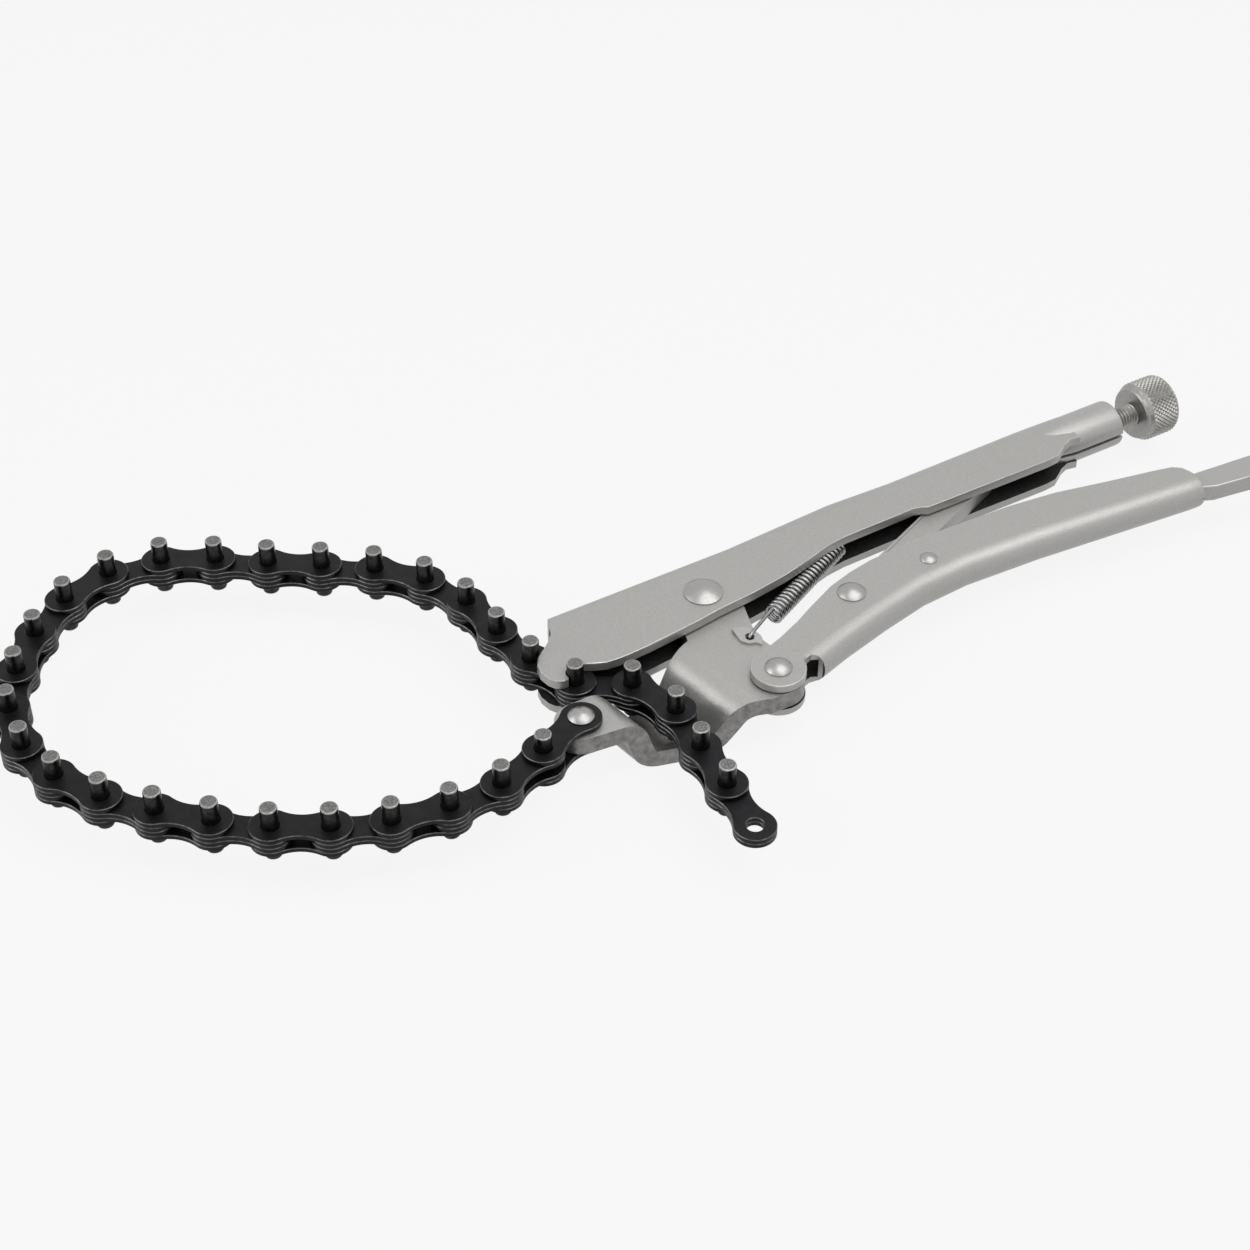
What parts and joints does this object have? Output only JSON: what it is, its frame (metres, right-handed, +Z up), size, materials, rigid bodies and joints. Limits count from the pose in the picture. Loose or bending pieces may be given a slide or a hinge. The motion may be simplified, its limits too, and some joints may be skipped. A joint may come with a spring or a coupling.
{
  "type": "chain pipe wrench",
  "caption": "Locking chain pipe wrench: folded handle with nose hooks, bent jaw, toggle lever, adjusting screw and a leaf chain with long pins looped into the hooks.",
  "frame": {"origin": "on the surface that the tool lies on, under the centre of its plan box", "axes": "+X along the fixed handle from the nose to the knob, +Y towards the handle's folded spine, +Z up along the chain pins"},
  "size_m": [0.408, 0.2084, 0.0262],
  "materials": {
    "nickel": "blasted nickel plate",
    "rivet": "bright plated",
    "screw": "plated, knurled",
    "spring": "drawn wire",
    "chain_black": "black oxide, worn edges",
    "pin": "bare turned steel"
  },
  "bodies": {
    "handle": {"fixed_handle": "nickel", "main_rivet": "rivet", "return_spring": "spring"},
    "screw": {"adjusting_screw": "screw"},
    "jaw": {"moving_jaw": "nickel", "chain_rivet": "rivet"},
    "lever": {"lever_handle": "nickel", "lever_rivet": "rivet", "toggle_rivet": "rivet", "release_rivet": "rivet"},
    "toggle": {"toggle_link": "nickel"},
    "release": {"release_lever": "nickel"},
    "chain_25": {"link_25": "chain_black", "pins_25": "pin", "link_24": "chain_black", "link_23": "chain_black", "pins_23": "pin"},
    "chain_22": {"link_22": "chain_black", "link_21": "chain_black", "pins_21": "pin", "link_20": "chain_black"},
    "chain_19": {"link_19": "chain_black", "pins_19": "pin", "link_18": "chain_black", "link_17": "chain_black", "pins_17": "pin"},
    "chain_16": {"link_16": "chain_black", "link_15": "chain_black", "pins_15": "pin", "link_14": "chain_black"},
    "chain_00": {"link_00": "chain_black", "link_01": "chain_black", "pins_01": "pin", "link_02": "chain_black"},
    "chain_03": {"link_03": "chain_black", "pins_03": "pin", "link_04": "chain_black", "link_05": "chain_black", "pins_05": "pin"},
    "chain_06": {"link_06": "chain_black", "link_07": "chain_black", "pins_07": "pin", "link_08": "chain_black"},
    "chain_09": {"link_09": "chain_black", "pins_09": "pin", "link_10": "chain_black", "link_11": "chain_black", "pins_11": "pin"},
    "chain_12": {"link_12": "chain_black", "link_13": "chain_black", "pins_13": "pin"},
    "chain_26": {"link_26": "chain_black"},
    "chain_27": {"link_27": "chain_black", "pins_27": "pin"},
    "chain_28": {"link_28": "chain_black"},
    "chain_29": {"link_29": "chain_black", "pins_29": "pin"},
    "chain_30": {"link_30": "chain_black"}
  },
  "joints": [
    {"name": "jaw_pivot", "type": "hinge", "parent": "handle", "child": "jaw", "pos_m": [0.006, -0.00988, 0.01588], "axis": [0, 0, 1], "range_deg": [0, 8], "deforming": ["return_spring"]},
    {"name": "lever_pivot", "type": "hinge", "parent": "jaw", "child": "lever", "pos_m": [0.007, -0.05028, 0.01588], "axis": [0, 0, 1], "range_deg": [-35.37, 0.17]},
    {"name": "toggle_pivot", "type": "hinge", "parent": "lever", "child": "toggle", "pos_m": [0.0456, -0.03298, 0.01588], "axis": [0, 0, 1], "range_deg": [-0.18, 41.78]},
    {"name": "release_pivot", "type": "hinge", "parent": "lever", "child": "release", "pos_m": [0.0758, -0.03188, 0.01588], "axis": [0, 0, 1], "range_deg": [0, 4]},
    {"name": "screw_turn", "type": "hinge", "parent": "handle", "child": "screw", "pos_m": [0.156, 0.00092, 0.01588], "axis": [1, 0, 0], "continuous": true},
    {"name": "loop_26", "type": "hinge", "parent": "handle", "child": "chain_25", "pos_m": [-0.0464, -0.02148, 0.01588], "axis": [0, 0, 1], "range_deg": [-0.1, 1.76]},
    {"name": "loop_23", "type": "hinge", "parent": "chain_25", "child": "chain_22", "pos_m": [-0.05661, 0.02805, 0.01588], "axis": [0, 0, 1], "range_deg": [-0.1, 2.19]},
    {"name": "loop_20", "type": "hinge", "parent": "chain_22", "child": "chain_19", "pos_m": [-0.08743, 0.06699, 0.01588], "axis": [0, 0, 1], "range_deg": [-0.1, 1.82]},
    {"name": "loop_17", "type": "hinge", "parent": "chain_19", "child": "chain_16", "pos_m": [-0.1298, 0.09521, 0.01588], "axis": [0, 0, 1], "range_deg": [-0.1, 1.48]},
    {"name": "loop_00", "type": "hinge", "parent": "jaw", "child": "chain_00", "pos_m": [-0.05361, -0.03728, 0.01588], "axis": [0, 0, 1], "range_deg": [-5.13, 0.11]},
    {"name": "loop_03", "type": "hinge", "parent": "chain_00", "child": "chain_03", "pos_m": [-0.10292, -0.04837, 0.01588], "axis": [0, 0, 1], "range_deg": [-2.04, 0.1]},
    {"name": "loop_06", "type": "hinge", "parent": "chain_03", "child": "chain_06", "pos_m": [-0.14977, -0.02944, 0.01588], "axis": [0, 0, 1], "range_deg": [-0.1, 1.51]},
    {"name": "loop_09", "type": "hinge", "parent": "chain_06", "child": "chain_09", "pos_m": [-0.18593, 0.0063, 0.01588], "axis": [0, 0, 1], "range_deg": [-0.11, 2.89]},
    {"name": "loop_12", "type": "hinge", "parent": "chain_09", "child": "chain_12", "pos_m": [-0.19534, 0.05463, 0.01588], "axis": [0, 0, 1], "range_deg": [-0.1, 1.58]},
    {"name": "tail_26", "type": "hinge", "parent": "chain_25", "child": "chain_26", "pos_m": [-0.0464, -0.02148, 0.01588], "axis": [0, 0, 1], "range_deg": [-0.12, 9.72]},
    {"name": "tail_27", "type": "hinge", "parent": "chain_26", "child": "chain_27", "pos_m": [-0.0323, -0.03098, 0.01588], "axis": [0, 0, 1], "range_deg": [-3, 3]},
    {"name": "tail_28", "type": "hinge", "parent": "chain_27", "child": "chain_28", "pos_m": [-0.02705, -0.04715, 0.01588], "axis": [0, 0, 1], "range_deg": [-25, 15]},
    {"name": "tail_29", "type": "hinge", "parent": "chain_28", "child": "chain_29", "pos_m": [-0.02912, -0.06403, 0.01588], "axis": [0, 0, 1], "range_deg": [-25, 30]},
    {"name": "tail_30", "type": "hinge", "parent": "chain_29", "child": "chain_30", "pos_m": [-0.0309, -0.08093, 0.01588], "axis": [0, 0, 1], "range_deg": [-45, 45]}
  ],
  "couplings": [
    {"joint": "lever_pivot", "follows": "jaw_pivot", "ratio": -4.4},
    {"joint": "toggle_pivot", "follows": "jaw_pivot", "ratio": 5.2},
    {"joint": "loop_26", "follows": "jaw_pivot", "ratio": 0.2072},
    {"joint": "loop_23", "follows": "jaw_pivot", "ratio": 0.2613},
    {"joint": "loop_20", "follows": "jaw_pivot", "ratio": 0.2146},
    {"joint": "loop_17", "follows": "jaw_pivot", "ratio": 0.1726},
    {"joint": "loop_00", "follows": "jaw_pivot", "ratio": -0.6281},
    {"joint": "loop_03", "follows": "jaw_pivot", "ratio": -0.242},
    {"joint": "loop_06", "follows": "jaw_pivot", "ratio": 0.1765},
    {"joint": "loop_09", "follows": "jaw_pivot", "ratio": 0.3482},
    {"joint": "loop_12", "follows": "jaw_pivot", "ratio": 0.1852},
    {"joint": "tail_26", "follows": "jaw_pivot", "ratio": 1.2}
  ]
}
